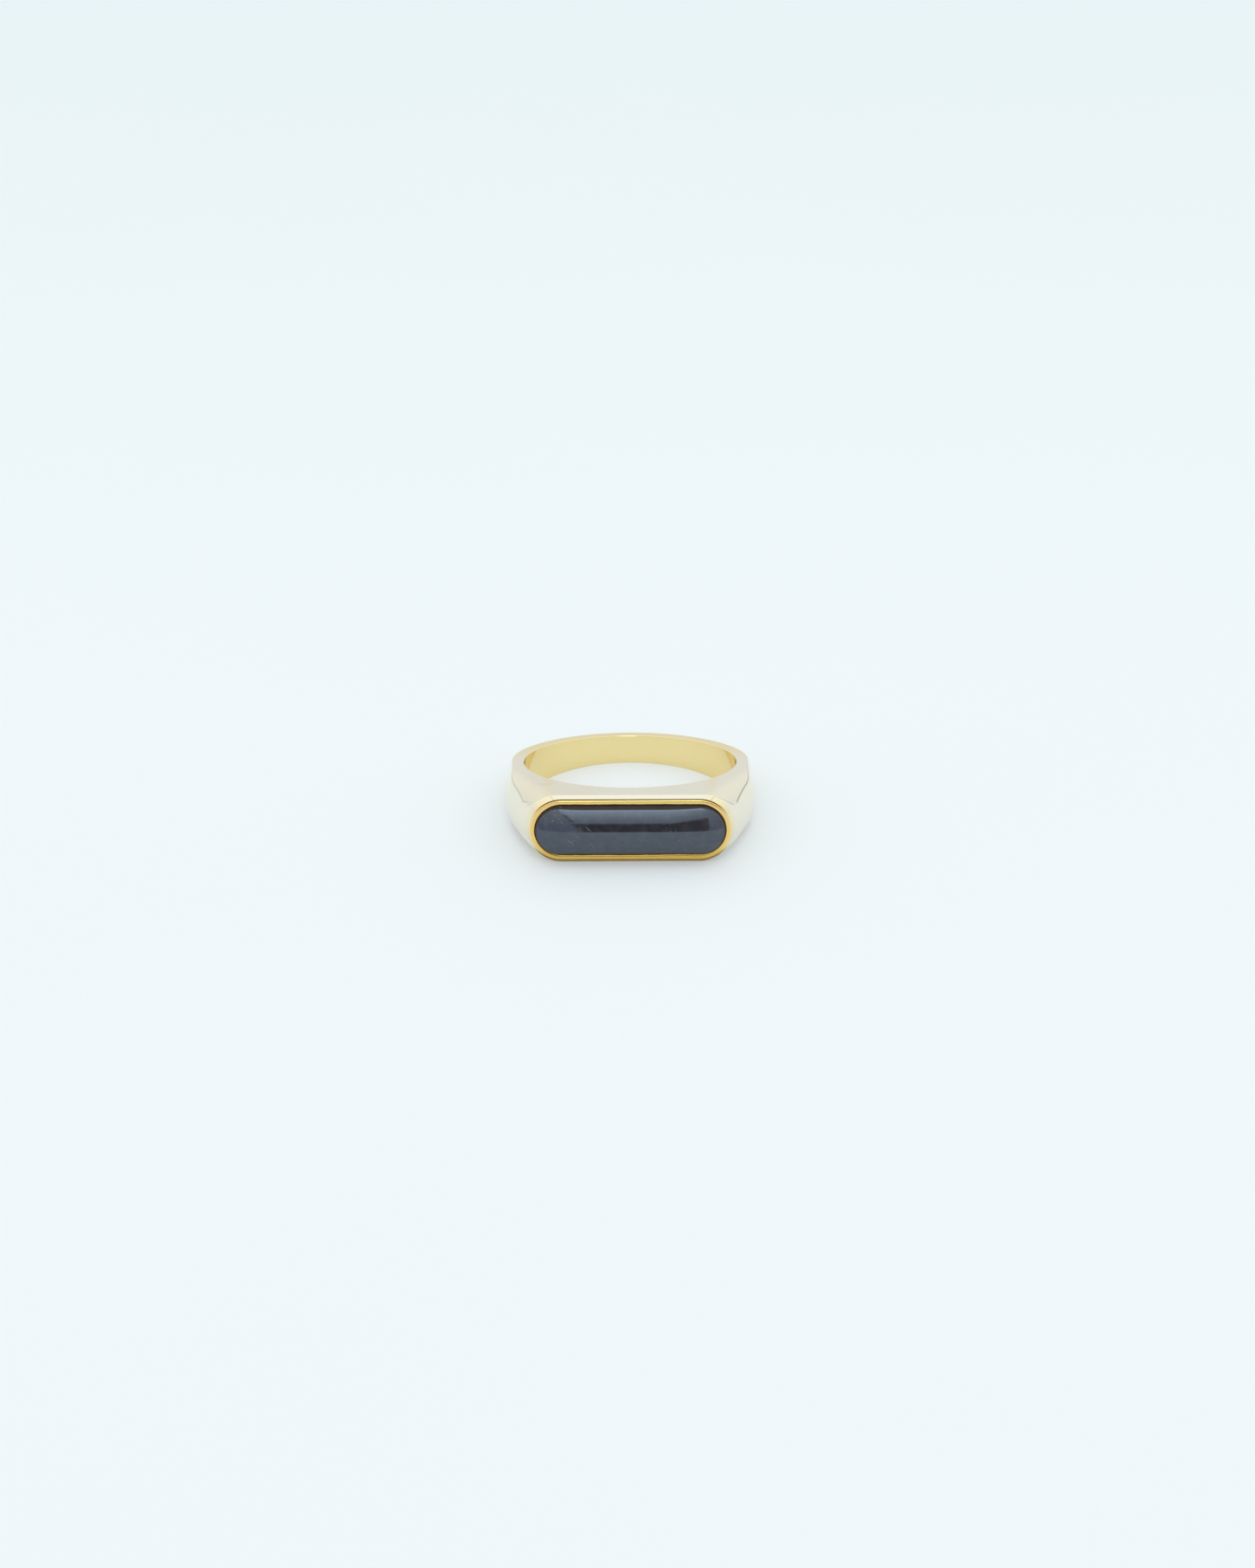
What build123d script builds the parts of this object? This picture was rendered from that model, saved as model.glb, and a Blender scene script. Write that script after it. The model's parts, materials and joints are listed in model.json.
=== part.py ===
from build123d import *
from math import cos, radians, sin, sqrt, tan
import os

# A signet ring with a long bar-shaped head that carries an elongated stone in a bezel.
# The shapes are drawn in the ring's own frame: the bore's centre is the origin, +Z is the
# finger axis and the stone faces -Y. The finished pieces are then laid on one flat side.
# Lengths are in millimetres and angles in degrees.

# ---- band
BORE_RADIUS = 8.65          # finger hole, US size 7
BORE_ROUND = 0.06           # softness of the bore's two edges
HALF_WIDTH = 1.88           # half of the band's width level with the bore's centre
SIDE_TAPER = 4.56           # slope of each flat side, so the band widens towards the head
OUTER_RADIUS = 10.05        # crest of the band's outside
OUTER_SHIFT = 0.30          # the outside's centre lies this far behind the bore's centre
CROWN_RADIUS = 4.4          # roundness of the outside across the band

# ---- shoulders: straight beside the bore, then leaning in towards the head
SHOULDER_START = -3.2       # y where the shoulder starts to turn inwards
SHOULDER_BEND = 10.0        # radius of that turn
SHOULDER_LEAN = 15.5        # angle that the shoulder leans in by

# ---- head: its flat sides roll over its round ends, and a bevel runs round its front
HEAD_FRONT = -11.52         # y of the head's front edge
ROLL_CENTRE = 5.36          # x of the rolled ends' centre at the front edge
ROLL_FLARE = 0.43           # that centre moves outwards by this per mm behind the front
BEVEL_RADIUS = 2.58         # half height of the bevel at the front edge
BEVEL_SLOPE = 0.39          # outward growth of the bevel per mm behind the front

# ---- setting: the pocket, collet, bearing, cement and stone are round-ended bars
SETTING_CENTRE = 5.42       # x of the round ends' centre
POCKET_FLOOR = -10.2        # y of the floor that the setting stands on
GROOVE_DEPTH = 0.2          # fine relief between the head and the collet's rim
COLLET_OUTER = 2.50         # half height of the collet outside
COLLET_INNER = 2.26         # half height of the collet inside
COLLET_LIP = 2.08           # half height of the opening in its pressed-over lip
LIP_DEPTH = 0.30            # length of that lip
RIM_FRONT = -11.58          # y of the collet's rim
RIM_ROUND = 0.18            # roundness of the rim
BEARING_INNER = 1.91        # half height of the hole in the bearing wire
BEARING_HEIGHT = 0.35       # height of the ledge that carries the stone
STONE_GIRDLE = 2.24         # half height of the stone's straight base
GIRDLE_TOP = -11.05         # y where the stone's wall starts to slope in
STONE_TOP = 1.75            # half height of the stone's upper face
TOP_EDGE = -12.19           # y of the upper face's edge
TOP_ROUND = 0.07            # softness of that edge
DOME_RISE = 0.28            # height of the low dome above that edge

# ---- rough blocks that the finished outside is cut from
REACH = 13.0
BLOCK_HALF_HEIGHT = 3.3
BAND_DEPTH = 3.2
CORE_HALF_LENGTH = 7.0


def side_height(y):
    """Height of the upper flat side above the mid-plane at depth y."""
    return HALF_WIDTH - y * tan(radians(SIDE_TAPER))


def stadium(y, centre, radius):
    """Upright face at depth y with straight long sides and round ends."""
    plane = Plane(origin=(0, y, 0), x_dir=(1, 0, 0), z_dir=(0, -1, 0))
    return plane * SlotCenterToCenter(2 * centre, 2 * radius)


def setting_bar(back, front, radius):
    """Round-ended bar on the setting's centres, between two depths."""
    return extrude(stadium(back, SETTING_CENTRE, radius), back - front)


def band_path():
    """Plan outline of the crest, from the right of the head round the back to its left."""
    lean = radians(SHOULDER_LEAN)
    side = Vector(OUTER_RADIUS, OUTER_SHIFT)
    hip = Vector(OUTER_RADIUS, SHOULDER_START)
    bend_end = hip - Vector(1 - cos(lean), sin(lean)) * SHOULDER_BEND
    run = (bend_end.Y + REACH) / cos(lean)
    tip = bend_end - Vector(sin(lean), cos(lean)) * run
    right = [
        Edge.make_line(tip, bend_end),
        Edge.make_tangent_arc(bend_end, Vector(sin(lean), cos(lean)), hip),
        Edge.make_line(hip, side),
    ]
    back = Edge.make_three_point_arc(
        side, Vector(0, OUTER_SHIFT + OUTER_RADIUS), Vector(-side.X, side.Y)
    )
    left = [edge.mirror(Plane.YZ) for edge in right]
    return Wire(right + [back] + left)


def crowned_band():
    """Band and shoulders with a crowned outside, swept along the crest's outline."""
    path = band_path()
    drop = CROWN_RADIUS - sqrt(CROWN_RADIUS**2 - BLOCK_HALF_HEIGHT**2)
    top = (-drop, BLOCK_HALF_HEIGHT)
    foot = (-drop, -BLOCK_HALF_HEIGHT)
    inner_top = (-BAND_DEPTH, BLOCK_HALF_HEIGHT)
    inner_foot = (-BAND_DEPTH, -BLOCK_HALF_HEIGHT)
    section = ThreePointArc(foot, (0, 0), top) + Polyline(top, inner_top, inner_foot, foot)
    lean = radians(SHOULDER_LEAN)
    across = Plane(
        origin=path.position_at(0),
        x_dir=(cos(lean), -sin(lean), 0),
        z_dir=(sin(lean), cos(lean), 0),
    )
    return sweep(across * make_face(section), path=path)


def flared_block(centre_at, radius_at):
    """Block whose upright section is a stadium that changes evenly from front to back."""
    ends = [stadium(y, centre_at(y), radius_at(y)) for y in (-REACH, REACH)]
    return loft(ends, ruled=True)


def make_ring_body():
    """Band, shoulders and head in one casting, with the pocket for the setting."""
    core = Box(2 * CORE_HALF_LENGTH, REACH, 2 * BLOCK_HALF_HEIGHT)
    block = crowned_band() + Pos(0, -REACH / 2, 0) * core
    flat_and_rolled_sides = flared_block(
        lambda y: ROLL_CENTRE + ROLL_FLARE * (y - HEAD_FRONT), side_height
    )
    bevel = flared_block(
        lambda y: SETTING_CENTRE, lambda y: BEVEL_RADIUS + BEVEL_SLOPE * (y - HEAD_FRONT)
    )
    body = block & flat_and_rolled_sides & bevel
    body -= Cylinder(BORE_RADIUS, 4 * BLOCK_HALF_HEIGHT)
    bore = body.faces().filter_by(GeomType.CYLINDER).sort_by(SortBy.AREA)[-1]
    bore_edges = bore.edges().filter_by(GeomType.LINE, reverse=True)
    body = fillet(bore_edges, BORE_ROUND)
    body -= setting_bar(POCKET_FLOOR, -REACH, COLLET_OUTER)
    body -= setting_bar(HEAD_FRONT + GROOVE_DEPTH, -REACH, BEVEL_RADIUS)
    return body


def setting_strip(section):
    """Strip that follows the setting's outline; section points are (y, half height)."""
    path = stadium(POCKET_FLOOR, SETTING_CENTRE, COLLET_OUTER).wire()
    return sweep(Plane.YZ * make_face(section), path=path)


def make_bezel_collet():
    """Thin upright wall round the stone, its rim rounded and pressed over the stone."""
    rim_back = RIM_FRONT + RIM_ROUND
    outer = [(rim_back, COLLET_OUTER), (RIM_FRONT, COLLET_OUTER - RIM_ROUND)]
    inner = [(RIM_FRONT, COLLET_LIP + RIM_ROUND), (rim_back, COLLET_LIP)]
    wall = Polyline(
        inner[1],
        (RIM_FRONT + LIP_DEPTH, COLLET_INNER),
        (POCKET_FLOOR, COLLET_INNER),
        (POCKET_FLOOR, COLLET_OUTER),
        outer[0],
    )
    rim = [
        RadiusArc(*outer, -RIM_ROUND),
        Line(outer[1], inner[0]),
        RadiusArc(*inner, -RIM_ROUND),
    ]
    return setting_strip(wall + rim)


def make_bearing_wire():
    """Ledge inside the collet that carries the edge of the stone's flat base."""
    ledge = POCKET_FLOOR - BEARING_HEIGHT
    section = Polyline(
        (POCKET_FLOOR, BEARING_INNER),
        (POCKET_FLOOR, COLLET_INNER),
        (ledge, COLLET_INNER),
        (ledge, BEARING_INNER),
        close=True,
    )
    return setting_strip(section)


def make_setting_cement():
    """Bed of cement under the stone, inside the bearing wire."""
    return setting_bar(POCKET_FLOOR, POCKET_FLOOR - BEARING_HEIGHT, BEARING_INNER)


def make_stone():
    """Long round-ended stone: straight girdle, wall that slopes in and a low dome."""
    girdle = setting_bar(POCKET_FLOOR - BEARING_HEIGHT, GIRDLE_TOP, STONE_GIRDLE)
    slope = (STONE_GIRDLE - STONE_TOP) / (GIRDLE_TOP - TOP_EDGE)
    wall_end = TOP_EDGE - 2 * DOME_RISE
    wall_end_radius = STONE_TOP - slope * (TOP_EDGE - wall_end)
    wall_sections = [
        stadium(GIRDLE_TOP, SETTING_CENTRE, STONE_GIRDLE),
        stadium(wall_end, SETTING_CENTRE, wall_end_radius),
    ]
    dome_radius = (STONE_TOP**2 + DOME_RISE**2) / (2 * DOME_RISE)
    dome_axis = TOP_EDGE - DOME_RISE + dome_radius
    dome = Pos(0, dome_axis, 0) * Rot(0, 90, 0) * Cylinder(dome_radius, 2 * SETTING_CENTRE)
    for x in (-SETTING_CENTRE, SETTING_CENTRE):
        dome += Pos(x, dome_axis, 0) * Sphere(dome_radius)
    stone = girdle + (loft(wall_sections, ruled=True) & dome)
    rim = stone.edges().filter_by_position(Axis.Y, TOP_EDGE - 0.01, TOP_EDGE + 0.01)
    return fillet(rim, TOP_ROUND)


def lay_down(pieces):
    """Tip the ring onto its lower flat side and centre its box on the origin."""
    tip = Rot(-SIDE_TAPER, 0, 0)
    lift = Pos(0, 0, HALF_WIDTH * cos(radians(SIDE_TAPER)))
    laid = {name: lift * tip * piece for name, piece in pieces.items()}
    box = Compound(children=[Compound(p.solids()) for p in laid.values()]).bounding_box()
    return {name: Pos(0, -box.center().Y, 0) * piece for name, piece in laid.items()}


PIECES = {
    "ring_body": make_ring_body(),
    "bezel_collet": make_bezel_collet(),
    "bearing_wire": make_bearing_wire(),
    "setting_cement": make_setting_cement(),
    "stone": make_stone(),
}

os.makedirs("parts", exist_ok=True)
for name, piece in lay_down(PIECES).items():
    export_step(piece, f"parts/{name}.step")
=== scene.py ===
import json
import math

import bmesh
import bpy
import numpy as np
from mathutils import Matrix, Vector


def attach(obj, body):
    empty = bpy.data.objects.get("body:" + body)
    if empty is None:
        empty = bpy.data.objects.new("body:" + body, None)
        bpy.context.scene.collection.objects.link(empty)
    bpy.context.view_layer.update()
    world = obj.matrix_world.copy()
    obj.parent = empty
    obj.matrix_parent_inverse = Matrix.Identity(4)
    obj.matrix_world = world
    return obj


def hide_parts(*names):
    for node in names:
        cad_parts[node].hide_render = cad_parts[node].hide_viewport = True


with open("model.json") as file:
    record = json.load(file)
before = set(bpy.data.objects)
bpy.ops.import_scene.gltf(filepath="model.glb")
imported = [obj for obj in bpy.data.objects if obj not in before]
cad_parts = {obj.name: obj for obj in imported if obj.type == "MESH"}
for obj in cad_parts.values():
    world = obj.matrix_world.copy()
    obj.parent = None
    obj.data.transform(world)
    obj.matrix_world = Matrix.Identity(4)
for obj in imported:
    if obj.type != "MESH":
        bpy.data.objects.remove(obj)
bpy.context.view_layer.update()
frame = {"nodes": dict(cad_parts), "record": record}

MM = 0.001

# ---- placing of the ring: its bore leans back by the taper of its flat sides
bore = next(m for m in frame["record"]["mounts"] if m["name"] == "finger_bore")
BORE_POINT = Vector(bore["pos_m"])

# ---- camera: a long lens about 24 degrees above the table
CAMERA_ELEVATION = math.radians(23.85)
CAMERA_DISTANCE = 0.3
CAMERA_LENS = 83.94
CAMERA_ROLL = -0.0038
CAMERA_SHIFT = (-0.00179, 0.01249)

# ---- the ring's own frame in mm: bore centre at the origin, finger axis +Z, stone towards -Y
RING_LEAN = math.atan2(bore["axis"][1], bore["axis"][2])
BORE_RADIUS = bore["dims"]["r_mm"]
HALF_WIDTH, SIDE_TAPER = 1.88, math.tan(math.radians(4.56))
OUTER_RADIUS, OUTER_SHIFT, CROWN_RADIUS = 10.05, 0.30, 4.4
SHOULDER_START, SHOULDER_BEND, SHOULDER_LEAN = -3.2, 10.0, math.radians(15.5)
HEAD_FRONT = -11.52
ROLL_CENTRE, ROLL_FLARE = 5.36, 0.43
BEVEL_RADIUS, BEVEL_SLOPE = 2.58, 0.39
SETTING_CENTRE, POCKET_FLOOR, GROOVE_FLOOR = 5.42, -10.2, -11.32

# ---- how far each edge of the casting is rounded
SIDE_ROUND, BACK_ROUND, LEFT_CORNER_ROUND = 0.05, 0.40, 0.35
BEVEL_ROUND, LOW_END_ROUND, BORE_ROUND = 0.04, 0.45, 0.06
BACK_FADE = (0.5, 8.5)      # y over which the rounding grows towards the back
LEFT_CORNER_X, LEFT_CORNER_Y = (5.0, 7.0), (8.5, 11.0)     # sideways and forwards
LOW_END_X, LOW_END_Z = (5.8, 7.2), (1.0, 1.7)   # where the bevel fades at the round ends
BLANK_FRONT = -12.3         # the skin is closed here before its front is cut off

# ---- fine painted shade lines on the casting, where its polished faces meet
LINE_CORNER_Y = (8.8, 11.2)     # where the long line follows the softer left corner
RIGHT_CROSS_X, LEFT_CROSS_X, CROSS_SLANT = 6.30, 6.01, 1.35     # short lines across the bevel
CORNER_LINE_X = (6.6, 7.0, 8.15, 8.35)      # line under the flat side's outer corner

# ---- collet: half-round rim, pressed over the stone by hand
COLLET_OUTER, COLLET_INNER, COLLET_LIP = 2.50, 2.26, 2.08
RIM_FRONT, RIM_BACK, LIP_BACK = -11.58, -11.44, -11.38
RIM_MIDDLE, RIM_HALF_WIDTH = (COLLET_OUTER + COLLET_LIP) / 2, (COLLET_OUTER - COLLET_LIP) / 2
RIM_POWER = 0.84            # below 1 the rim is flatter on top than a half ellipse
LIP_WAVES = (0.008, 9, 0.6), (0.006, 23, 2.1), (0.004, 41, 0.0)     # size, count and phase
LOW_LIP_PRESS, LOW_LIP_BULGE = 0.045, 0.04
END_SPREAD, END_RISE = 0.078, 0.075     # the rim's spread over the relief at the round ends
# depths over which painted shade darkens the rim's inner side
RIM_SHADE_DEPTH = (RIM_BACK - 0.085, RIM_BACK + 0.03)
BLEND_RADIUS, BLEND_HEIGHT = (2.36, 2.58), (1.2, 2.2)   # where the rim's colour fades

# ---- stone: straight girdle, wall that slopes in, low dome that faces slightly downwards
GIRDLE_RADIUS, GIRDLE_TOP, STONE_BASE = 2.24, -11.18, -10.55
WALL_SLOPE, WALL_DROP, WALL_STRETCH = 0.589, 0.055, 0.24
WALL_SCALE = 0.88           # turns the wall's sideways distance into one square to it
DOME_RADIUS, DOME_AXIS_Y, DOME_AXIS_Z = 5.55, -6.87, -0.60
DOME_END = 5.62             # x from which the dome rounds down over its ends
LEFT_SAG_START, LEFT_SAG_RADIUS = 3.4, 40.0
RIGHT_SAG_START, RIGHT_SAG_RADIUS = 2.6, 50.0
STONE_ROUND = 0.06
WALL_FACING = (0.62, 0.80)  # the wall is where the surface faces forward by less than this
DUST_CENTRE, DUST_SPREAD = (-5.3, 1.0), (1.5, 0.7)

# ---- mesh density
BODY_SECTIONS, HALF_SECTION_POINTS = 600, 67
STONE_SECTION_POINTS = 72
BODY_CORE_RADIUS, HEAD_CORE_SHIFT = 9.35, 0.8   # line inside the band that the rays leave from
STONE_CORE_DEPTH = -11.2
RIM_POINTS, WALL_POINTS = 33, 8
TRIAL_RAYS, HALVINGS = 481, 24
NUDGE = 0.001               # keeps comparisons clear of rounding

# ---- colours; a pair is mixed by noise
# painted reflection tone of the casting: pale where it mirrors the bright tent, deep where it
# mirrors gold and shade
OVERLIT_PALE_GOLD = (0.88, 0.82, 0.66), (0.91, 0.845, 0.69)
INTERREFLECTED_DEEP_GOLD = (0.91, 0.74, 0.36), (0.93, 0.77, 0.40)
# painted warm reflection on the left of the flat side
WARM_REFLECTION_GOLD = (0.88, 0.68, 0.42)
# painted shade along the creases between polished faces
CREASE_SHADE_BROWN = (0.30, 0.25, 0.14)
RIM_GOLD = (0.90, 0.60, 0.19), (0.93, 0.64, 0.24)
# painted shade: the rim's darker lower side and its shaded inner side
LOW_RIM_SHADED_GOLD, END_RIM_GOLD, RIM_SHADE_BROWN = (0.76, 0.51, 0.13), (0.91, 0.78, 0.48), (0.40, 0.28, 0.12)
GROOVE_GOLD, GROOVE_END_GOLD = (0.90, 0.67, 0.27), (0.90, 0.80, 0.56)
# painted shade in the relief along the head's upper side
GROOVE_SHADE = (0.34, 0.24, 0.10), (0.46, 0.33, 0.15)
STONE_FACE = (0.022, 0.021, 0.027), (0.034, 0.034, 0.044)
# ground wall's colour with a painted reflection of the collet's shaded gold
STONE_WALL_AND_GOLD_REFLECTION = (0.028, 0.020, 0.016), (0.050, 0.037, 0.030)
STONE_TINT = (0.68, 0.83, 1.0)
DUST_FILM, DUST_SPECK = (0.075, 0.062, 0.060), (0.40, 0.41, 0.43)
CEMENT = (0.10, 0.09, 0.08), (0.18, 0.17, 0.15)
NEAR_PAPER = (0.614, 0.64, 0.659), (0.629, 0.655, 0.674)
# painted shade: the paper darker far behind the ring
FAR_SHADED_PAPER = (0.556, 0.606, 0.616), (0.571, 0.621, 0.631)
PAPER_GLOW = (0.91, 0.97, 1.0)

# ---- light from each direction of the tent and of its front opening
TENT_TOP, TENT_SIDES = (1.03, 1.07, 1.05), (0.86, 0.91, 0.97)
TENT_FRONT, TENT_BACK = (0.52, 0.56, 0.68), (0.78, 0.81, 0.82)
OPENING_DARK, OPENING_WARM = (0.02, 0.02, 0.02), (0.30, 0.17, 0.13)
OPENING_PALE, OPENING_LIGHT = (0.85, 0.90, 0.97), (2.45, 2.58, 2.66)
OPENING_EDGE = (0.05, 0.05, 0.06)
OPENING_LEFT, OPENING_RIGHT = (-2.7, -0.7), (18, 24)    # degrees over which each side fades in
OPENING_SLANT, OPENING_RISE = 11, 0.12  # its left side leans, its dark part rises to the right
BACKDROP = (0.83, 0.90, 0.92)


# ---------------------------------------------------------------- shapes


def to_row(points):
    """Points in the ring's own frame (mm) to the row frame (m)."""
    points = np.asarray(points, float)
    x, y, z = points[..., 0], points[..., 1], points[..., 2]
    lean_cos, lean_sin = math.cos(RING_LEAN), math.sin(RING_LEAN)
    laid = np.stack([x, y * lean_cos + z * lean_sin, z * lean_cos - y * lean_sin], -1)
    return laid * MM + np.array(BORE_POINT)


def turn_to_row(normals):
    """Directions in the ring's own frame to the row frame."""
    return to_row(np.asarray(normals) / MM) - np.array(BORE_POINT)


def smooth_step(value, low, high):
    t = np.clip((value - low) / (high - low), 0, 1)
    return t * t * (3 - 2 * t)


def rounded_cut(parts, softness):
    """Signed distance to what lies inside all parts, with the edges between them rounded."""
    parts = np.stack(parts)
    inner = np.minimum(-softness, parts.max(0))
    return inner + np.sqrt((np.maximum(parts + softness, 0) ** 2).sum(0))


def bar_distance(x, z):
    """Distance from the setting's centre line."""
    return np.hypot(np.maximum(np.abs(x) - SETTING_CENTRE, 0), z)


def crest_distance(x, y):
    """Distance outside the plan outline of the band's crest."""
    x = np.abs(x)
    ahead = SHOULDER_START - y
    across = x - (OUTER_RADIUS - SHOULDER_BEND)
    shank = np.hypot(x, y - OUTER_SHIFT) - OUTER_RADIUS
    bend = np.hypot(across, ahead) - SHOULDER_BEND
    leaning = across * math.cos(SHOULDER_LEAN) + ahead * math.sin(SHOULDER_LEAN) - SHOULDER_BEND
    front = np.where(ahead < across * math.tan(SHOULDER_LEAN), bend, leaning)
    return np.where(y > OUTER_SHIFT, shank, np.where(ahead < 0, x - OUTER_RADIUS, front))


def body_parts(p):
    """Signed distances to the outside, the flat and rolled sides, the bevel and the bore."""
    x, y, z = p[..., 0], p[..., 1], p[..., 2]
    crown = CROWN_RADIUS - np.sqrt(CROWN_RADIUS**2 - np.clip(z, -4, 4) ** 2)
    outside = crest_distance(x, y) + crown
    end_centre = ROLL_CENTRE + ROLL_FLARE * (y - HEAD_FRONT)
    sides = np.hypot(np.maximum(np.abs(x) - end_centre, 0), z) - (HALF_WIDTH - SIDE_TAPER * y)
    bevel = bar_distance(x, z) - (BEVEL_RADIUS + BEVEL_SLOPE * (y - HEAD_FRONT))
    return outside, sides, bevel, BORE_RADIUS - np.hypot(x, y)


def body_distance(p):
    """Signed distance to the casting; its left front corner and its back are worn softer."""
    x, y, z = p[..., 0], p[..., 1], np.abs(p[..., 2])
    outside, sides, bevel, inside = body_parts(p)
    edge = SIDE_ROUND + BACK_ROUND * smooth_step(y, *BACK_FADE)
    corner = smooth_step(-x, *LEFT_CORNER_X) * smooth_step(-y, *LEFT_CORNER_Y)
    edge = edge + LEFT_CORNER_ROUND * corner
    skin = rounded_cut([outside, sides], edge)
    low_end = smooth_step(np.abs(x), *LOW_END_X) * (1 - smooth_step(z, *LOW_END_Z))
    behind_front = smooth_step(y, HEAD_FRONT, HEAD_FRONT + 0.8)
    skin = rounded_cut([skin, bevel], BEVEL_ROUND + LOW_END_ROUND * low_end * behind_front)
    skin = rounded_cut([skin, inside], np.full_like(y, BORE_ROUND))
    return np.maximum(skin, BLANK_FRONT - y)


def stone_distance(p):
    """Signed distance to the stone; its dome sags towards both ends."""
    x, y, z = p[..., 0], p[..., 1], p[..., 2]
    rise = np.maximum(GIRDLE_TOP - y, 0)
    aside = np.maximum(np.abs(x) - SETTING_CENTRE - WALL_STRETCH * rise, 0)
    wall = np.hypot(aside, z + WALL_DROP * rise) - GIRDLE_RADIUS + WALL_SLOPE * rise
    ends = np.maximum(np.abs(x) - DOME_END, 0)
    sag = np.maximum(-x - LEFT_SAG_START, 0) ** 2 / (2 * LEFT_SAG_RADIUS)
    sag = sag + np.maximum(x - RIGHT_SAG_START, 0) ** 2 / (2 * RIGHT_SAG_RADIUS)
    dome = np.sqrt((y - sag - DOME_AXIS_Y) ** 2 + (z - DOME_AXIS_Z) ** 2 + ends**2) - DOME_RADIUS
    return rounded_cut([wall * WALL_SCALE, dome, y - STONE_BASE], np.full_like(y, STONE_ROUND))


def gradient(distance, points, step=1e-4):
    """Unit directions in which the distance grows fastest."""
    columns = []
    for axis in range(3):
        offset = np.zeros(3)
        offset[axis] = step
        columns.append(distance(points + offset) - distance(points - offset))
    slope = np.stack(columns, -1)
    return slope / np.linalg.norm(slope, axis=-1, keepdims=True)


def cast(distance, centres, directions, reach):
    """Point where each ray leaves the shape, found by halving."""
    low = np.zeros(directions.shape[:-1])
    high = np.full(directions.shape[:-1], reach)
    for _ in range(HALVINGS):
        middle = (low + high) / 2
        inside = distance(centres + directions * middle[..., None]) < 0
        low = np.where(inside, middle, low)
        high = np.where(inside, high, middle)
    return centres + directions * ((low + high) / 2)[..., None]


def section_outlines(distance, centres, ahead, aside, count, reach, turn_weight):
    """Half outlines, one per section plane, with their points gathered at the bends."""
    centres = centres[:, None]
    ahead, aside = ahead[:, None], aside[:, None]
    angle = np.linspace(0, math.pi, TRIAL_RAYS)[None, :, None]
    coarse = cast(distance, centres, ahead * np.cos(angle) + aside * np.sin(angle), reach)
    run = np.diff(coarse, axis=1)
    length = np.linalg.norm(run, axis=-1)
    unit = run / length[..., None]
    turn = np.arccos(np.clip((unit[:, 1:] * unit[:, :-1]).sum(-1), -1, 1))
    turn = np.concatenate([turn[:, :1], turn, turn[:, -1:]], 1)
    weight = length + turn_weight * (turn[:, 1:] + turn[:, :-1]) / 2
    total = np.concatenate([np.zeros((len(weight), 1)), np.cumsum(weight, 1)], 1)
    total /= total[:, -1:]
    even = np.linspace(0, 1, count)
    chosen = np.stack([np.interp(even, row, angle[0, :, 0]) for row in total])[..., None]
    return cast(distance, centres, ahead * np.cos(chosen) + aside * np.sin(chosen), reach)


def setting_path(straight, round_end):
    """Rows of (x, outward x, outward z) once round the setting's centre line."""
    line = np.linspace(-SETTING_CENTRE, SETTING_CENTRE, straight)
    swing = np.linspace(0, math.pi, round_end + 1)[1:-1]
    top = [(x, 0.0, 1.0) for x in line]
    right = [(SETTING_CENTRE, math.sin(a), math.cos(a)) for a in swing]
    bottom = [(x, 0.0, -1.0) for x in line[::-1]]
    left = [(-SETTING_CENTRE, -math.sin(a), -math.cos(a)) for a in swing]
    return np.array(top + right + bottom + left)


# ---------------------------------------------------------------- mesh helpers


def new_piece(name, mesh, node, materials):
    piece = bpy.data.objects.new(name, mesh)
    bpy.context.scene.collection.objects.link(piece)
    for material in materials:
        mesh.materials.append(material)
    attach(piece, "root")
    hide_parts(node)


def add_attribute(mesh, name, values):
    layer = mesh.attributes.new(name, "FLOAT", "POINT")
    layer.data.foreach_set("value", np.asarray(values, np.float32))


def mesh_of_rows(name, points, closed):
    """Mesh over rows of points that follow each other in a loop; each row is closed or open."""
    rows, count = points.shape[:2]
    faces = []
    for i in range(rows):
        j = (i + 1) % rows
        for k in range(count if closed else count - 1):
            m = (k + 1) % count
            faces.append((i * count + k, j * count + k, j * count + m, i * count + m))
    mesh = bpy.data.meshes.new(name)
    mesh.from_pydata(points.reshape(-1, 3), [], faces)
    return mesh


def face_outwards(skin):
    bmesh.ops.recalc_face_normals(skin, faces=skin.faces)
    if skin.calc_volume(signed=True) < 0:
        bmesh.ops.reverse_faces(skin, faces=skin.faces)


def rework(mesh, change=None):
    """Runs a change on the mesh's skin, if one is given, and turns its faces outwards."""
    skin = bmesh.new()
    skin.from_mesh(mesh)
    if change:
        change(skin)
    face_outwards(skin)
    skin.to_mesh(mesh)
    skin.free()


def points_of(mesh):
    points = np.empty(len(mesh.vertices) * 3)
    mesh.vertices.foreach_get("co", points)
    return points.reshape(-1, 3)


def place_mesh(mesh, points):
    """Moves the mesh from the ring's own frame to the row frame, with smooth shading."""
    mesh.vertices.foreach_set("co", to_row(points).ravel())
    mesh.update()
    mesh.polygons.foreach_set("use_smooth", [True] * len(mesh.polygons))


def set_normals(mesh, normals, flat_faces=()):
    """Exact normals at the corners; the listed faces keep their own flat normal."""
    corner = np.empty(len(mesh.loops), int)
    mesh.loops.foreach_get("vertex_index", corner)
    corner_normals = normals[corner]
    for index in flat_faces:
        face = mesh.polygons[index]
        corner_normals[face.loop_start : face.loop_start + face.loop_total] = face.normal
    mesh.normals_split_custom_set(corner_normals.tolist())


# ---------------------------------------------------------------- pieces


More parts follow.
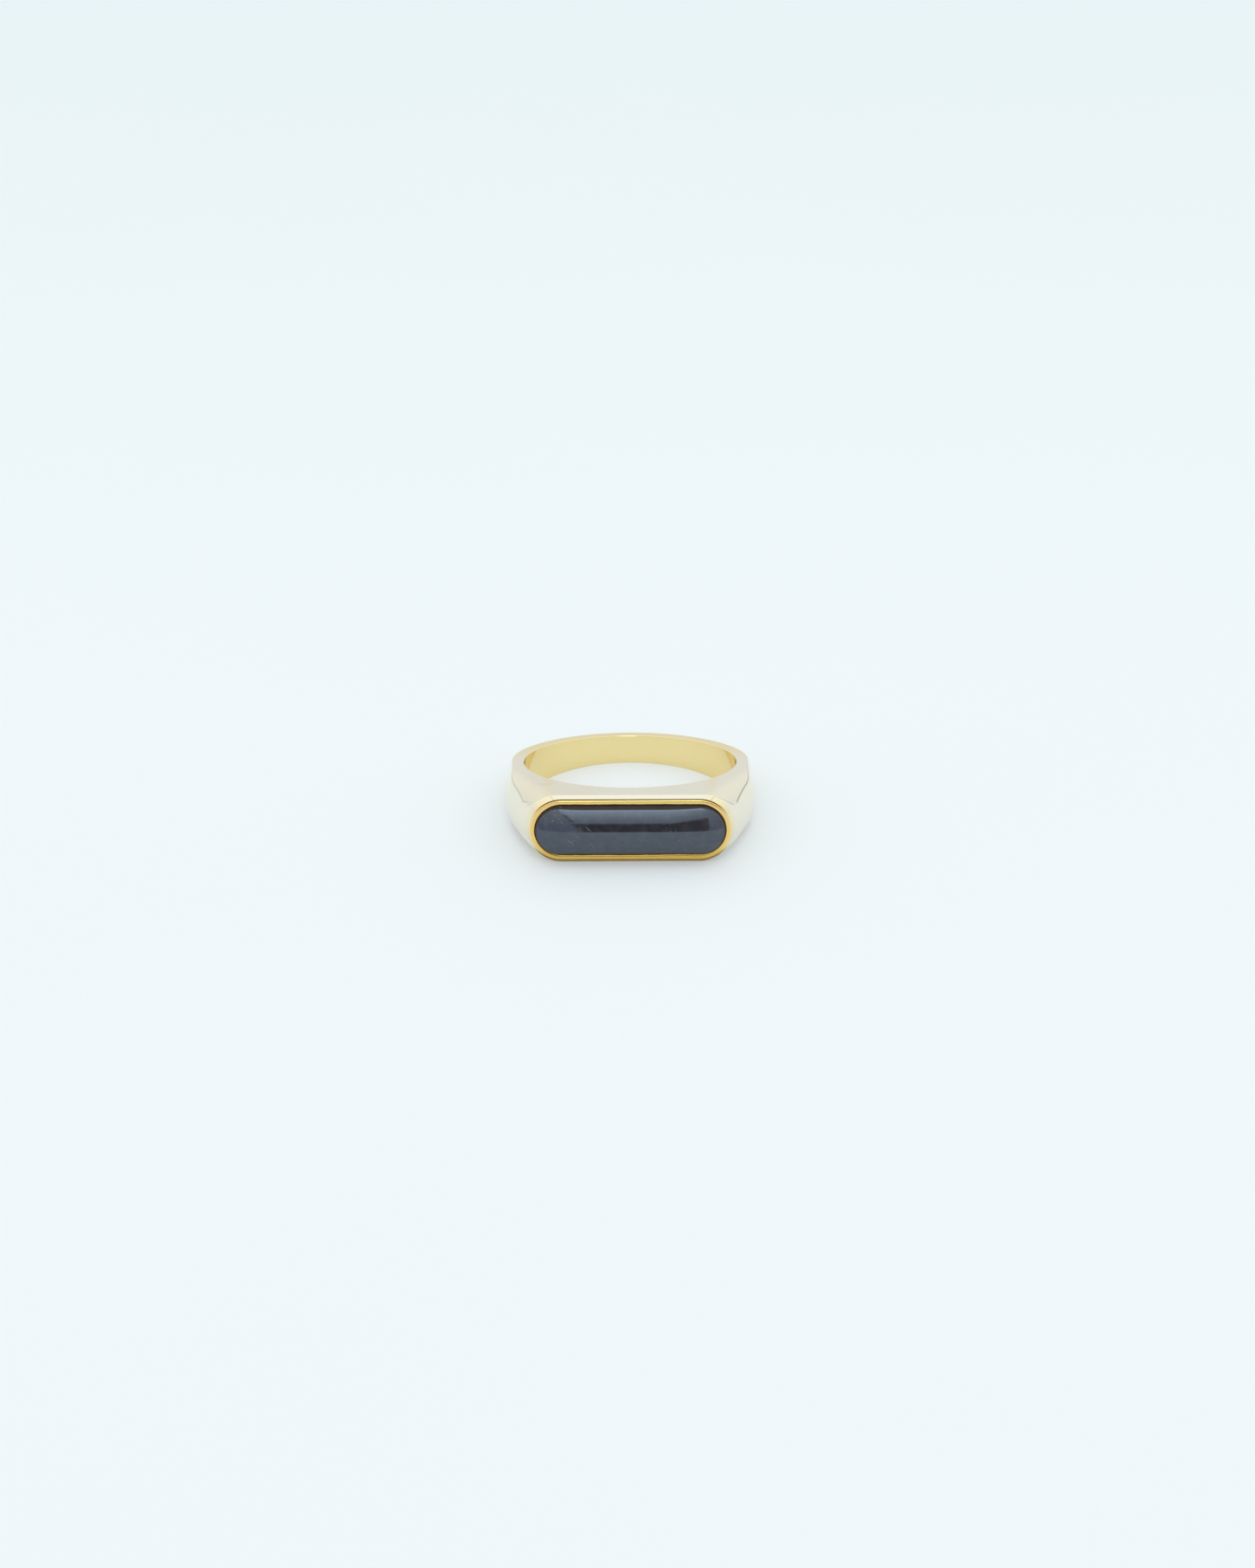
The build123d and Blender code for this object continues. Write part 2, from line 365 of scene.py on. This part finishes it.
def cut_setting(skin):
    """Cuts the skin off at the head's front, then sinks the relief and the pocket into it."""
    every = skin.verts[:] + skin.edges[:] + skin.faces[:]
    bmesh.ops.bisect_plane(
        skin,
        geom=every,
        dist=1e-5,
        plane_co=Vector((0, HEAD_FRONT, 0)),
        plane_no=Vector((0, -1, 0)),
        clear_outer=True,
    )
    rim = [edge for edge in skin.edges if edge.is_boundary]
    steps = [(None, GROOVE_FLOOR), (COLLET_OUTER, GROOVE_FLOOR), (COLLET_OUTER, POCKET_FLOOR)]
    for radius, depth in steps:
        grown = bmesh.ops.extrude_edge_only(skin, edges=rim)["geom"]
        for vertex in (item for item in grown if isinstance(item, bmesh.types.BMVert)):
            x, _, z = vertex.co
            centre = max(-SETTING_CENTRE, min(SETTING_CENTRE, x))
            out = Vector((x - centre, 0, z))
            if radius:
                out = out.normalized() * radius
            vertex.co = Vector((centre, depth, 0)) + out
        edges = [item for item in grown if isinstance(item, bmesh.types.BMEdge)]
        rim = [edge for edge in edges if edge.is_boundary]
        for face in (item for item in grown if isinstance(item, bmesh.types.BMFace)):
            face.material_index = 1
    for face in bmesh.ops.contextual_create(skin, geom=rim)["faces"]:
        face.material_index = 1


def mark_body(mesh, points):
    """Values that the casting's material reads: where its faces meet and where a point lies."""
    x, y, z = points[:, 0], points[:, 1], points[:, 2]
    outside, sides, bevel, inside = body_parts(points)
    soft_corner = smooth_step(-x, *LEFT_CORNER_X) * smooth_step(-y, *LINE_CORNER_Y)
    rim_gap = bar_distance(x, z) - BEVEL_RADIUS
    cross_start = np.where(x > 0, RIGHT_CROSS_X, LEFT_CROSS_X)
    corner_start = smooth_step(np.abs(x), *CORNER_LINE_X[:2])
    corner_end = smooth_step(np.abs(x), *CORNER_LINE_X[2:])
    values = {
        "depth": y,
        "across": x,
        "height": z,
        "rim_gap": rim_gap,
        "side_edge": sides - outside - LEFT_CORNER_ROUND * soft_corner,
        "bevel_edge": bevel - np.maximum(sides, outside),
        "cross_line": np.abs(x) - cross_start - CROSS_SLANT * rim_gap,
        "corner": corner_start * (1 - corner_end) * smooth_step(z, 1.4, 1.6),
        "bore_wall": smooth_step(inside, -0.10, -0.02),
        "flat_side": smooth_step(sides - np.maximum(outside, bevel), 0.0, 0.06),
    }
    for name, value in values.items():
        add_attribute(mesh, name, value)


def make_body(material, groove_material):
    """The casting: a skin of cross-sections all round the band, and the pocket in its head."""
    turn = (np.arange(BODY_SECTIONS) + 0.5) / BODY_SECTIONS * 2 * math.pi
    outward = np.stack([np.cos(turn), np.sin(turn), np.zeros(BODY_SECTIONS)], 1)
    upward = np.tile([0.0, 0.0, 1.0], (BODY_SECTIONS, 1))
    core_radius = BODY_CORE_RADIUS + HEAD_CORE_SHIFT * smooth_step(-np.sin(turn), 0.2, 0.9)
    centres = outward * core_radius[:, None]
    upper = section_outlines(
        body_distance, centres, outward, upward, HALF_SECTION_POINTS, reach=9.0, turn_weight=1.2
    )
    lower = upper[:, -2:0:-1] * np.array([1, 1, -1])
    mesh = mesh_of_rows("ring_body_skin", np.concatenate([upper, lower], 1), closed=True)
    rework(mesh, cut_setting)
    points = points_of(mesh)
    mark_body(mesh, points)
    normals = turn_to_row(gradient(body_distance, points))
    place_mesh(mesh, points)
    flat = [face.index for face in mesh.polygons if face.material_index == 1]
    set_normals(mesh, normals, flat)
    new_piece("ring_casting", mesh, "ring_body", [material, groove_material])


def close_stone(skin):
    """Welds the sections where they meet on the centre line."""
    bmesh.ops.remove_doubles(skin, verts=skin.verts, dist=1e-4)
    bmesh.ops.dissolve_degenerate(skin, edges=skin.edges, dist=1e-5)


def make_stone(material):
    """The cabochon, from cross-sections along its centre line and round its ends."""
    path = setting_path(straight=220, round_end=120)
    level = np.full(len(path), STONE_CORE_DEPTH)
    centres = np.stack([path[:, 0], level, np.zeros(len(path))], 1)
    aside = np.stack([path[:, 1], np.zeros(len(path)), path[:, 2]], 1)
    ahead = np.tile([0.0, -1.0, 0.0], (len(path), 1))
    rows = section_outlines(
        stone_distance, centres, ahead, aside, STONE_SECTION_POINTS, reach=4.0, turn_weight=0.8
    )
    mesh = mesh_of_rows("stone_skin", rows, closed=False)
    rework(mesh, close_stone)
    points = points_of(mesh)
    outward = gradient(stone_distance, points)
    add_attribute(mesh, "wall", 1 - smooth_step(-outward[:, 1], *WALL_FACING))
    away = (points[:, [0, 2]] - np.array(DUST_CENTRE)) / np.array(DUST_SPREAD)
    add_attribute(mesh, "dusty", np.exp(-(away**2).sum(1)))
    add_attribute(mesh, "worn", 1 - smooth_step(points[:, 0], -1.5, 3.0))
    place_mesh(mesh, points)
    set_normals(mesh, turn_to_row(outward))
    new_piece("bar_cabochon", mesh, "stone", [material])


def collet_profile():
    """Points of (half height, depth) up the outside, over the rim and down the inside."""
    arc = np.linspace(0, math.pi, RIM_POINTS)
    along = np.sign(np.cos(arc)) * np.abs(np.cos(arc)) ** RIM_POWER
    up = np.abs(np.sin(arc)) ** RIM_POWER
    rim = list(zip(RIM_MIDDLE + RIM_HALF_WIDTH * along, RIM_BACK + (RIM_FRONT - RIM_BACK) * up))
    outer = [(COLLET_OUTER, y) for y in np.linspace(POCKET_FLOOR, RIM_BACK, WALL_POINTS)[:-1]]
    inner = [(COLLET_INNER, y) for y in np.linspace(LIP_BACK, POCKET_FLOOR, WALL_POINTS)]
    return np.array(outer + rim + inner)


def make_collet(material):
    """Thin bezel strip with a half-round, hand-burnished rim."""
    profile = collet_profile()
    path = setting_path(straight=240, round_end=120)
    x, z = path[:, 0], path[:, 2]
    turn = np.linspace(0, 2 * math.pi, len(path), endpoint=False)
    radius = np.tile(profile[:, 0], (len(path), 1))
    depth = np.tile(profile[:, 1], (len(path), 1))
    # the lip wavers a little and is pressed in further along its lower side
    wave = sum(size * np.sin(count * turn + phase) for size, count, phase in LIP_WAVES)
    bulge = LOW_LIP_BULGE * np.exp(-(((x - 3.6) / 1.2) ** 2)) * (z < 0)
    pressed = LOW_LIP_PRESS * smooth_step(-z, 0.5, 1.0) + bulge
    lip = (radius < RIM_MIDDLE) & (depth < LIP_BACK + NUDGE)
    inwards = np.clip((RIM_MIDDLE - radius) / RIM_HALF_WIDTH, 0, 1)
    radius += np.where(lip, (wave - pressed)[:, None] * inwards, 0)
    # at the round ends the rim is rubbed over until it meets the head
    end_on = 1 - smooth_step(np.abs(z), 0.45, 0.97)[:, None]
    outwards = np.clip((radius - RIM_MIDDLE) / RIM_HALF_WIDTH, 0, 1)
    radius += END_SPREAD * end_on * outwards
    depth -= END_RISE * end_on * outwards * (depth < RIM_BACK + NUDGE)
    rows = np.stack([path[:, :1] + path[:, 1:2] * radius, depth, path[:, 2:3] * radius], -1)
    mesh = mesh_of_rows("bezel_strip", rows, closed=True)
    rework(mesh)
    points = points_of(mesh)
    height = points[:, 2]
    add_attribute(mesh, "sunk", smooth_step(points[:, 1], *RIM_SHADE_DEPTH))
    add_attribute(mesh, "height", height)
    outer_part = smooth_step(bar_distance(points[:, 0], height), *BLEND_RADIUS)
    add_attribute(mesh, "blended", outer_part * (1 - smooth_step(np.abs(height), *BLEND_HEIGHT)))
    place_mesh(mesh, points)
    new_piece("bezel_strip", mesh, "bezel_collet", [material])


def make_camera():
    """Camera that looks at the table right under the middle of the finger hole."""
    target = Vector((0, BORE_POINT.y, 0))
    back = Vector((0, -math.cos(CAMERA_ELEVATION), math.sin(CAMERA_ELEVATION)))
    data = bpy.data.cameras.new("camera")
    data.lens = CAMERA_LENS
    data.sensor_width = 36
    data.shift_x, data.shift_y = CAMERA_SHIFT
    data.clip_start = 0.01
    data.clip_end = 20
    camera = bpy.data.objects.new("camera", data)
    look = (-back).to_track_quat("-Z", "Y").to_matrix().to_4x4()
    roll = Matrix.Rotation(CAMERA_ROLL, 4, "Z")
    camera.matrix_world = Matrix.Translation(target + back * CAMERA_DISTANCE) @ look @ roll
    bpy.context.scene.collection.objects.link(camera)
    bpy.context.scene.camera = camera


# ---------------------------------------------------------------- node helpers


def new_material(name):
    material = bpy.data.materials.new(name)
    material.use_nodes = True
    tree = material.node_tree
    return material, tree, tree.nodes["Principled BSDF"]


def add(tree, kind, **values):
    """Adds a node; values whose name is a property set it, the others set an input socket."""
    node = tree.nodes.new(kind)
    for key, value in values.items():
        if hasattr(node, key):
            setattr(node, key, value)
        else:
            node.inputs[key.replace("_", " ")].default_value = value
    return node


def link(tree, source, target):
    tree.links.new(source, target)


def feed(tree, socket, value):
    """Sets a socket to a number or a colour, or links another node's output to it."""
    if isinstance(value, (int, float)):
        socket.default_value = value
    elif isinstance(value, tuple):
        socket.default_value = (*value, 1)
    else:
        link(tree, value, socket)


def math_node(tree, operation, a, b=None):
    node = add(tree, "ShaderNodeMath", operation=operation)
    feed(tree, node.inputs[0], a)
    if b is not None:
        feed(tree, node.inputs[1], b)
    return node.outputs[0]


def times(tree, a, b):
    return math_node(tree, "MULTIPLY", a, b)


def larger(tree, a, b):
    return math_node(tree, "MAXIMUM", a, b)


def size_of(tree, value):
    return math_node(tree, "ABSOLUTE", value)


def remap(tree, value, low, high, to_low=0.0, to_high=1.0, smooth=True):
    node = add(tree, "ShaderNodeMapRange")
    node.interpolation_type = "SMOOTHSTEP" if smooth else "LINEAR"
    link(tree, value, node.inputs["Value"])
    node.inputs["From Min"].default_value = low
    node.inputs["From Max"].default_value = high
    node.inputs["To Min"].default_value = to_low
    node.inputs["To Max"].default_value = to_high
    return node.outputs["Result"]


def ridge(tree, value, half_width):
    """1 where a signed value crosses zero, falling to 0 at half_width on either side."""
    return remap(tree, size_of(tree, value), 0.25 * half_width, half_width, 1.0, 0.0)


def mix_colour(tree, factor, a, b):
    node = add(tree, "ShaderNodeMix", data_type="RGBA")
    for index, value in zip((0, 6, 7), (factor, a, b)):
        feed(tree, node.inputs[index], value)
    return node.outputs[2]


def mix_value(tree, factor, a, b):
    node = add(tree, "ShaderNodeMix", data_type="FLOAT")
    for index, value in zip((0, 2, 3), (factor, a, b)):
        feed(tree, node.inputs[index], value)
    return node.outputs[0]


def surface_value(tree, name):
    node = add(tree, "ShaderNodeAttribute")
    node.attribute_name = name
    return node.outputs["Fac"]


def object_place(tree):
    return add(tree, "ShaderNodeTexCoord").outputs["Object"]


def noise(tree, scale, detail=3.0, roughness=0.5, stretch=None):
    """Noise over the object's own coordinates, drawn out along an axis if stretch is given."""
    place = object_place(tree)
    if stretch:
        mapping = add(tree, "ShaderNodeMapping")
        mapping.inputs["Scale"].default_value = stretch
        link(tree, place, mapping.inputs["Vector"])
        place = mapping.outputs[0]
    node = add(tree, "ShaderNodeTexNoise", Scale=scale, Detail=detail, Roughness=roughness)
    link(tree, place, node.inputs["Vector"])
    return node.outputs["Fac"]


def cells(tree, place, scale, dimensions="3D"):
    """Distance to the nearest of a set of scattered points."""
    node = add(tree, "ShaderNodeTexVoronoi", Scale=scale, Randomness=1.0)
    node.voronoi_dimensions = dimensions
    link(tree, place, node.inputs["Vector"])
    return node.outputs["Distance"]


def fine_roughness(tree, shader, low, high):
    """Roughness that varies finely between two values."""
    fine = noise(tree, 2600.0, 4.0, 0.6)
    link(tree, remap(tree, fine, 0.3, 0.7, low, high, False), shader.inputs["Roughness"])


def bump(tree, shader, height, strength, distance):
    node = add(tree, "ShaderNodeBump")
    node.inputs["Strength"].default_value = strength
    node.inputs["Distance"].default_value = distance
    link(tree, height, node.inputs["Height"])
    link(tree, node.outputs[0], shader.inputs["Normal"])


# ---------------------------------------------------------------- world and floor


def make_opening(tree, direction, x, ahead, up):
    """Front opening: dark below and a bright soft light above. Gives its mask and its colour."""
    azimuth = math_node(tree, "ARCTAN2", x, ahead)
    slanted = math_node(tree, "ADD", azimuth, times(tree, up, math.radians(OPENING_SLANT)))
    from_left = remap(tree, slanted, *map(math.radians, OPENING_LEFT))
    from_right = remap(tree, azimuth, *map(math.radians, OPENING_RIGHT), 1.0, 0.0)
    inside = times(tree, from_left, from_right)
    rising = remap(tree, azimuth, math.radians(0.5), math.radians(10))
    rising = times(tree, rising, OPENING_RISE)
    level = math_node(tree, "SUBTRACT", up, rising)
    # warm streaks in the dark part
    stretched = add(tree, "ShaderNodeMapping")
    stretched.inputs["Scale"].default_value = (2.0, 2.0, 14.0)
    link(tree, direction, stretched.inputs["Vector"])
    streaks = add(tree, "ShaderNodeTexNoise", Scale=3.0, Detail=3.0)
    link(tree, stretched.outputs[0], streaks.inputs["Vector"])
    warm = remap(tree, streaks.outputs["Fac"], 0.45, 0.62)
    warm = times(tree, warm, remap(tree, azimuth, math.radians(1), math.radians(8)))
    shade = mix_colour(tree, warm, OPENING_DARK, OPENING_WARM)
    colour = mix_colour(tree, remap(tree, level, 0.20, 0.28), shade, OPENING_PALE)
    colour = mix_colour(tree, remap(tree, level, 0.26, 0.68), colour, OPENING_LIGHT)
    # short dark edge of the opening's frame on its left
    edge = ridge(tree, math_node(tree, "ADD", slanted, math.radians(1.4)), math.radians(1.1))
    reach = times(tree, remap(tree, up, 0.24, 0.32), remap(tree, up, 0.52, 0.44))
    edge = times(tree, times(tree, edge, reach), 0.9)
    return inside, mix_colour(tree, edge, colour, OPENING_EDGE)


def make_world():
    """Soft white tent, a little dimmer behind, with an opening in front under a bright light."""
    world = bpy.data.worlds.new("tent")
    world.use_nodes = True
    bpy.context.scene.world = world
    tree = world.node_tree
    direction = add(tree, "ShaderNodeTexCoord").outputs["Generated"]
    split = add(tree, "ShaderNodeSeparateXYZ")
    link(tree, direction, split.inputs[0])
    x, y, up = split.outputs
    front_dimming = remap(tree, y, -0.3, -0.8)
    sides = mix_colour(tree, front_dimming, TENT_SIDES, TENT_FRONT)
    horizon = mix_colour(tree, remap(tree, y, 0.55, 0.95), sides, TENT_BACK)
    tent = mix_colour(tree, remap(tree, up, 0.05, 0.62), horizon, TENT_TOP)
    ahead = times(tree, y, -1.0)
    inside, opening = make_opening(tree, direction, x, ahead, up)
    light = mix_colour(tree, inside, tent, opening)
    seen = add(tree, "ShaderNodeLightPath").outputs["Is Camera Ray"]
    background = tree.nodes["Background"]
    link(tree, mix_colour(tree, seen, light, BACKDROP), background.inputs["Color"])
    background.inputs["Strength"].default_value = 1.0


def make_floor():
    """Pale paper, with painted shade that darkens it far behind the ring; it glows faintly to lift
    the shadows.
    """
    size = 4.0
    mesh = bpy.data.meshes.new("floor")
    corners = [(-size, -size, 0), (size, -size, 0), (size, size, 0), (-size, size, 0)]
    mesh.from_pydata(corners, [], [(0, 1, 2, 3)])
    floor = bpy.data.objects.new("floor", mesh)
    bpy.context.scene.collection.objects.link(floor)
    material, tree, shader = new_material("floor_paper")
    fibre = noise(tree, 9.0, 4.0, 0.55)
    near = mix_colour(tree, fibre, *NEAR_PAPER)
    far = mix_colour(tree, fibre, *FAR_SHADED_PAPER)
    place = add(tree, "ShaderNodeSeparateXYZ")
    link(tree, object_place(tree), place.inputs[0])
    # painted shade growing with distance behind the ring
    far_shade = remap(tree, place.outputs["Y"], 0.02, 0.34, smooth=False)
    link(tree, mix_colour(tree, far_shade, near, far), shader.inputs["Base Color"])
    shader.inputs["Emission Color"].default_value = (*PAPER_GLOW, 1)
    shader.inputs["Emission Strength"].default_value = 0.21
    shader.inputs["Roughness"].default_value = 0.85
    shader.inputs["Specular IOR Level"].default_value = 0.2
    mesh.materials.append(material)


# ---------------------------------------------------------------- materials


def crease_shade_lines(tree, across, depth):
    """Fine painted shade lines where the polished faces meet beside the head, fainter on the left.
    """
    height = surface_value(tree, "height")
    bevel_edge = surface_value(tree, "bevel_edge")
    left = remap(tree, across, -2.0, 2.0, 0.5, 1.0)
    crease = ridge(tree, surface_value(tree, "side_edge"), 0.034)
    crease = times(tree, crease, remap(tree, depth, 1.0, -3.0))
    crease = times(tree, crease, remap(tree, height, 1.30, 1.42))
    crease = times(tree, crease, remap(tree, bevel_edge, -0.01, -0.10))
    on_bevel = times(tree, remap(tree, bevel_edge, -0.02, 0.02), remap(tree, height, 1.6, 2.0))
    short = times(tree, ridge(tree, surface_value(tree, "cross_line"), 0.04), on_bevel)
    corner = times(tree, ridge(tree, bevel_edge, 0.022), surface_value(tree, "corner"))
    line = larger(tree, times(tree, crease, left), times(tree, short, 0.75))
    return larger(tree, line, times(tree, times(tree, corner, left), 0.45))


def make_ring_gold():
    """Polished gold with painted reflection tone: deep inside the bore and behind, paler on the
    head's outside.
    """
    material, tree, shader = new_material("ring_gold")
    shader.inputs["Metallic"].default_value = 1.0
    depth = surface_value(tree, "depth")
    across = surface_value(tree, "across")
    broad = noise(tree, 260.0)
    # painted reflection tone: paler on the outside, deeper inside the bore, behind and beside the
    # rim's ends
    overlit_pale = mix_colour(tree, broad, *OVERLIT_PALE_GOLD)
    interreflected_deep = mix_colour(tree, broad, *INTERREFLECTED_DEEP_GOLD)
    near_end = remap(tree, size_of(tree, across), 5.5, 7.2)
    near_rim = remap(tree, surface_value(tree, "rim_gap"), 0.02, 0.42, 0.8, 0.0)
    interreflection_mask = larger(tree, times(tree, near_rim, near_end), remap(tree, depth, 0.0, 5.0))
    interreflection_mask = larger(tree, interreflection_mask, surface_value(tree, "bore_wall"))
    colour = mix_colour(tree, interreflection_mask, overlit_pale, interreflected_deep)
    # painted warm reflection: a cloudy patch on the left part of the flat side
    cloud = remap(tree, noise(tree, 700.0, 4.0, 0.6), 0.42, 0.68)
    cloud = math_node(tree, "ADD", times(tree, cloud, 0.6), 0.3)
    reflection_patch = times(tree, remap(tree, across, -9.2, -7.6), remap(tree, across, -4.5, -1.5, 1.0, 0.0))
    on_flat = times(tree, surface_value(tree, "flat_side"), remap(tree, depth, -2.0, -5.0))
    warm = times(tree, times(tree, cloud, reflection_patch), on_flat)
    colour = mix_colour(tree, times(tree, warm, 0.62), colour, WARM_REFLECTION_GOLD)
    # painted shade: dark lines along the creases
    line = crease_shade_lines(tree, across, depth)
    colour = mix_colour(tree, times(tree, line, 0.75), colour, CREASE_SHADE_BROWN)
    link(tree, colour, shader.inputs["Base Color"])
    fine_roughness(tree, shader, 0.05, 0.11)
    scratches = noise(tree, 900.0, 3.0, 0.6, (1.0, 1.0, 9.0))
    bump(tree, shader, scratches, 0.05, 0.00001)
    return material


def make_bezel_gold(name, sunk):
    """Deeper yellow gold of the rim; painted shade darkens it where it runs down into the relief
    and along its lower side.
    """
    material, tree, shader = new_material(name)
    shader.inputs["Metallic"].default_value = 1.0
    colour = mix_colour(tree, noise(tree, 420.0), *RIM_GOLD)
    if sunk:
        height = surface_value(tree, "height")
        above = remap(tree, height, 0.8, 2.0)
        below = remap(tree, height, -0.8, -2.0, 0.0, 0.6)
        # painted shade where the rim turns down into the relief, strongest on top
        painted_shade = times(tree, surface_value(tree, "sunk"), larger(tree, above, below))
        # painted shade: the rim's lower side is darker and deeper in colour
        colour = mix_colour(tree, remap(tree, height, -1.2, -2.1), colour, LOW_RIM_SHADED_GOLD)
        colour = mix_colour(tree, painted_shade, colour, RIM_SHADE_BROWN)
        blended = times(tree, surface_value(tree, "blended"), 0.9)
        colour = mix_colour(tree, blended, colour, END_RIM_GOLD)
    link(tree, colour, shader.inputs["Base Color"])
    fine_roughness(tree, shader, 0.15, 0.24)
    bump(tree, shader, noise(tree, 1500.0, 3.0), 0.12, 0.00002)
    return material


def make_groove_gold():
    """Unpolished gold at the bottom of the relief and in the pocket, with painted shade along its
    upper side.
    """
    material, tree, shader = new_material("groove_gold")
    shader.inputs["Metallic"].default_value = 1.0
    height = surface_value(tree, "height")
    painted_shade = mix_colour(tree, noise(tree, 900.0), *GROOVE_SHADE)
    end_on = remap(tree, size_of(tree, height), 2.2, 1.2)
    gold = mix_colour(tree, end_on, GROOVE_GOLD, GROOVE_END_GOLD)
    # painted shade on the relief's upper side
    colour = mix_colour(tree, remap(tree, height, 0.8, 2.0), gold, painted_shade)
    link(tree, colour, shader.inputs["Base Color"])
    link(tree, remap(tree, noise(tree, 3000.0), 0.3, 0.7, 0.4, 0.6), shader.inputs["Roughness"])
    return material


def slanting_strokes(tree, place):
    """Hairline scratches: scattered points that are drawn out along one slanting direction."""
    slant, squeeze = math.radians(52), 0.08
    slant_cos, slant_sin = math.cos(slant), math.sin(slant)
    directions = {
        "X": (slant_cos, 0, slant_sin),
        "Y": (-squeeze * slant_sin, 0, squeeze * slant_cos),
    }
    drawn_out = add(tree, "ShaderNodeCombineXYZ")
    for socket, direction in directions.items():
        part = add(tree, "ShaderNodeVectorMath", operation="DOT_PRODUCT")
        link(tree, place, part.inputs[0])
        part.inputs[1].default_value = direction
        link(tree, part.outputs["Value"], drawn_out.inputs[socket])
    nearest = cells(tree, drawn_out.outputs[0], 1700.0, "2D")
    return remap(tree, nearest, 0.02, 0.06, 1.0, 0.0)


def make_stone_material():
    """Blue-black polished stone with a ground wall painted brown with the reflection of shaded
    gold, dust specks and hairline scratches.
    """
    material, tree, shader = new_material("dark_stone")
    wall = surface_value(tree, "wall")
    dusty = surface_value(tree, "dusty")
    worn = surface_value(tree, "worn")
    cloud = noise(tree, 420.0, 5.0, 0.6)
    film = remap(tree, noise(tree, 1500.0, 5.0, 0.65), 0.42, 0.70)
    film = times(tree, film, mix_value(tree, dusty, 0.42, 0.9))
    face = mix_colour(tree, cloud, *STONE_FACE)
    face = mix_colour(tree, film, face, DUST_FILM)
    # painted reflection: the wall's brown tint stands for shaded gold mirrored in it
    reflecting_wall = mix_colour(tree, noise(tree, 1400.0, 4.0), *STONE_WALL_AND_GOLD_REFLECTION)
    colour = mix_colour(tree, wall, face, reflecting_wall)
    place = object_place(tree)
    speck = remap(tree, cells(tree, place, 4200.0), 0.05, 0.21, 1.0, 0.0)
    scattered = remap(tree, noise(tree, 500.0, 2.0), 0.56, 0.72)
    scattered = times(tree, scattered, mix_value(tree, worn, 0.45, 1.0))
    speck = times(tree, speck, larger(tree, scattered, dusty))
    hair = times(tree, slanting_strokes(tree, place), worn)
    hair = times(tree, hair, remap(tree, noise(tree, 600.0, 3.0), 0.36, 0.60))
    speck = larger(tree, speck, times(tree, hair, 0.42))
    colour = mix_colour(tree, times(tree, speck, 0.7), colour, DUST_SPECK)
    link(tree, colour, shader.inputs["Base Color"])
    shader.inputs["IOR"].default_value = 1.9
    shader.inputs["Specular Tint"].default_value = (*STONE_TINT, 1)
    polish = remap(tree, noise(tree, 3000.0, 4.0, 0.6), 0.3, 0.7, 0.03, 0.07, False)
    rough = mix_value(tree, larger(tree, wall, speck), polish, 0.5)
    link(tree, rough, shader.inputs["Roughness"])
    link(tree, mix_value(tree, wall, 0.5, 0.12), shader.inputs["Specular IOR Level"])
    bump(tree, shader, noise(tree, 600.0, 3.0), 0.06, 0.00001)
    return material


def make_cement():
    """Grainy dark cement."""
    material, tree, shader = new_material("setting_cement")
    grain = noise(tree, 4000.0)
    colour = mix_colour(tree, grain, *CEMENT)
    link(tree, colour, shader.inputs["Base Color"])
    link(tree, remap(tree, grain, 0.3, 0.7, 0.7, 0.9), shader.inputs["Roughness"])
    bump(tree, shader, grain, 0.3, 0.00002)
    return material


# ---------------------------------------------------------------- the scene

hidden_gold = make_bezel_gold("bearing_gold", sunk=False)
dark_stone = make_stone_material()
finish = {
    "ring_body": hidden_gold,
    "bezel_collet": hidden_gold,
    "bearing_wire": hidden_gold,
    "setting_cement": make_cement(),
    "stone": dark_stone,
}
for name, node in frame["nodes"].items():
    node.data.materials.clear()
    node.data.materials.append(finish[name])

make_body(make_ring_gold(), make_groove_gold())
make_collet(make_bezel_gold("bezel_gold", sunk=True))
make_stone(dark_stone)
make_world()
make_floor()
make_camera()
bpy.context.scene.view_settings.view_transform = "Standard"
